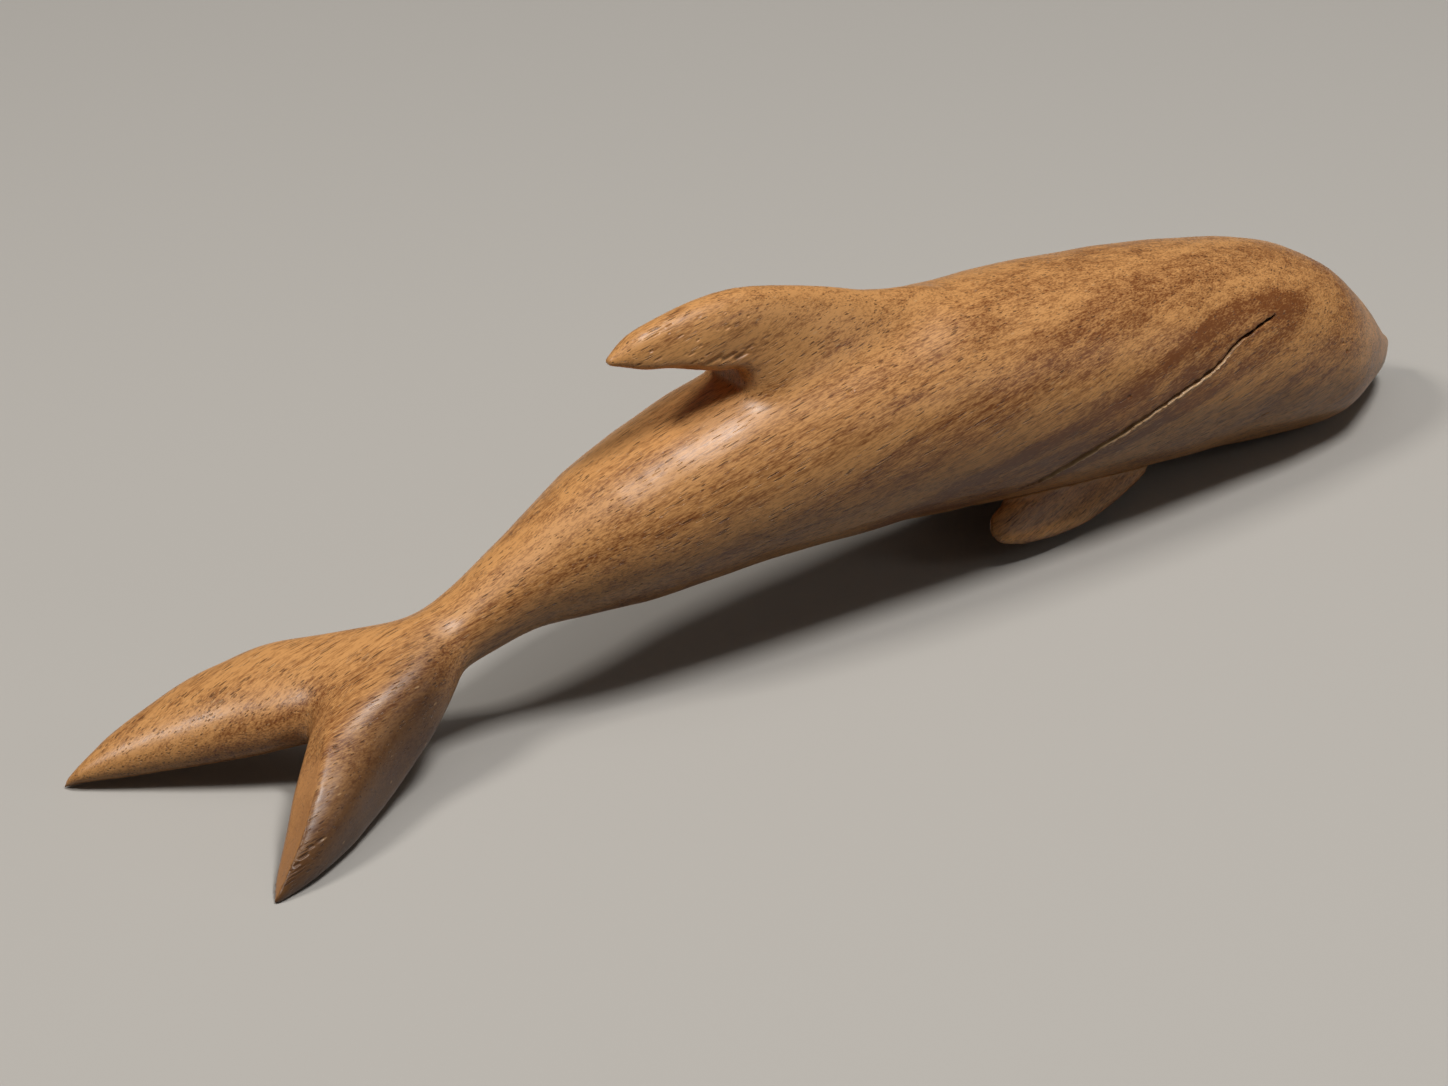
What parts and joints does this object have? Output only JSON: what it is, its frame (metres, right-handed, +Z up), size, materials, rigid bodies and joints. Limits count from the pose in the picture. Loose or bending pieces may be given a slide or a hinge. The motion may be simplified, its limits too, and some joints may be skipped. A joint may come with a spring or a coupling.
{
  "type": "wooden dolphin carving",
  "caption": "Carved wooden dolphin ornament with a swept dorsal fin, notched tail flukes and pegged flippers, standing on its chin and tail tips.",
  "frame": {"origin": "centre of the bounding box at the level of the resting flat under the chin", "axes": "+X towards the snout, +Y to the animal's left, +Z up"},
  "size_m": [0.2538, 0.0478, 0.0581],
  "materials": {
    "carved_wood": "satin wax",
    "flipper_wood": "satin wax",
    "peg_wood": "plain"
  },
  "bodies": {
    "root": {"carved_body": "carved_wood", "right_flipper": "flipper_wood", "right_flipper_front_peg": "peg_wood", "right_flipper_rear_peg": "peg_wood", "left_flipper": "flipper_wood", "left_flipper_front_peg": "peg_wood", "left_flipper_rear_peg": "peg_wood"}
  },
  "joints": []
}
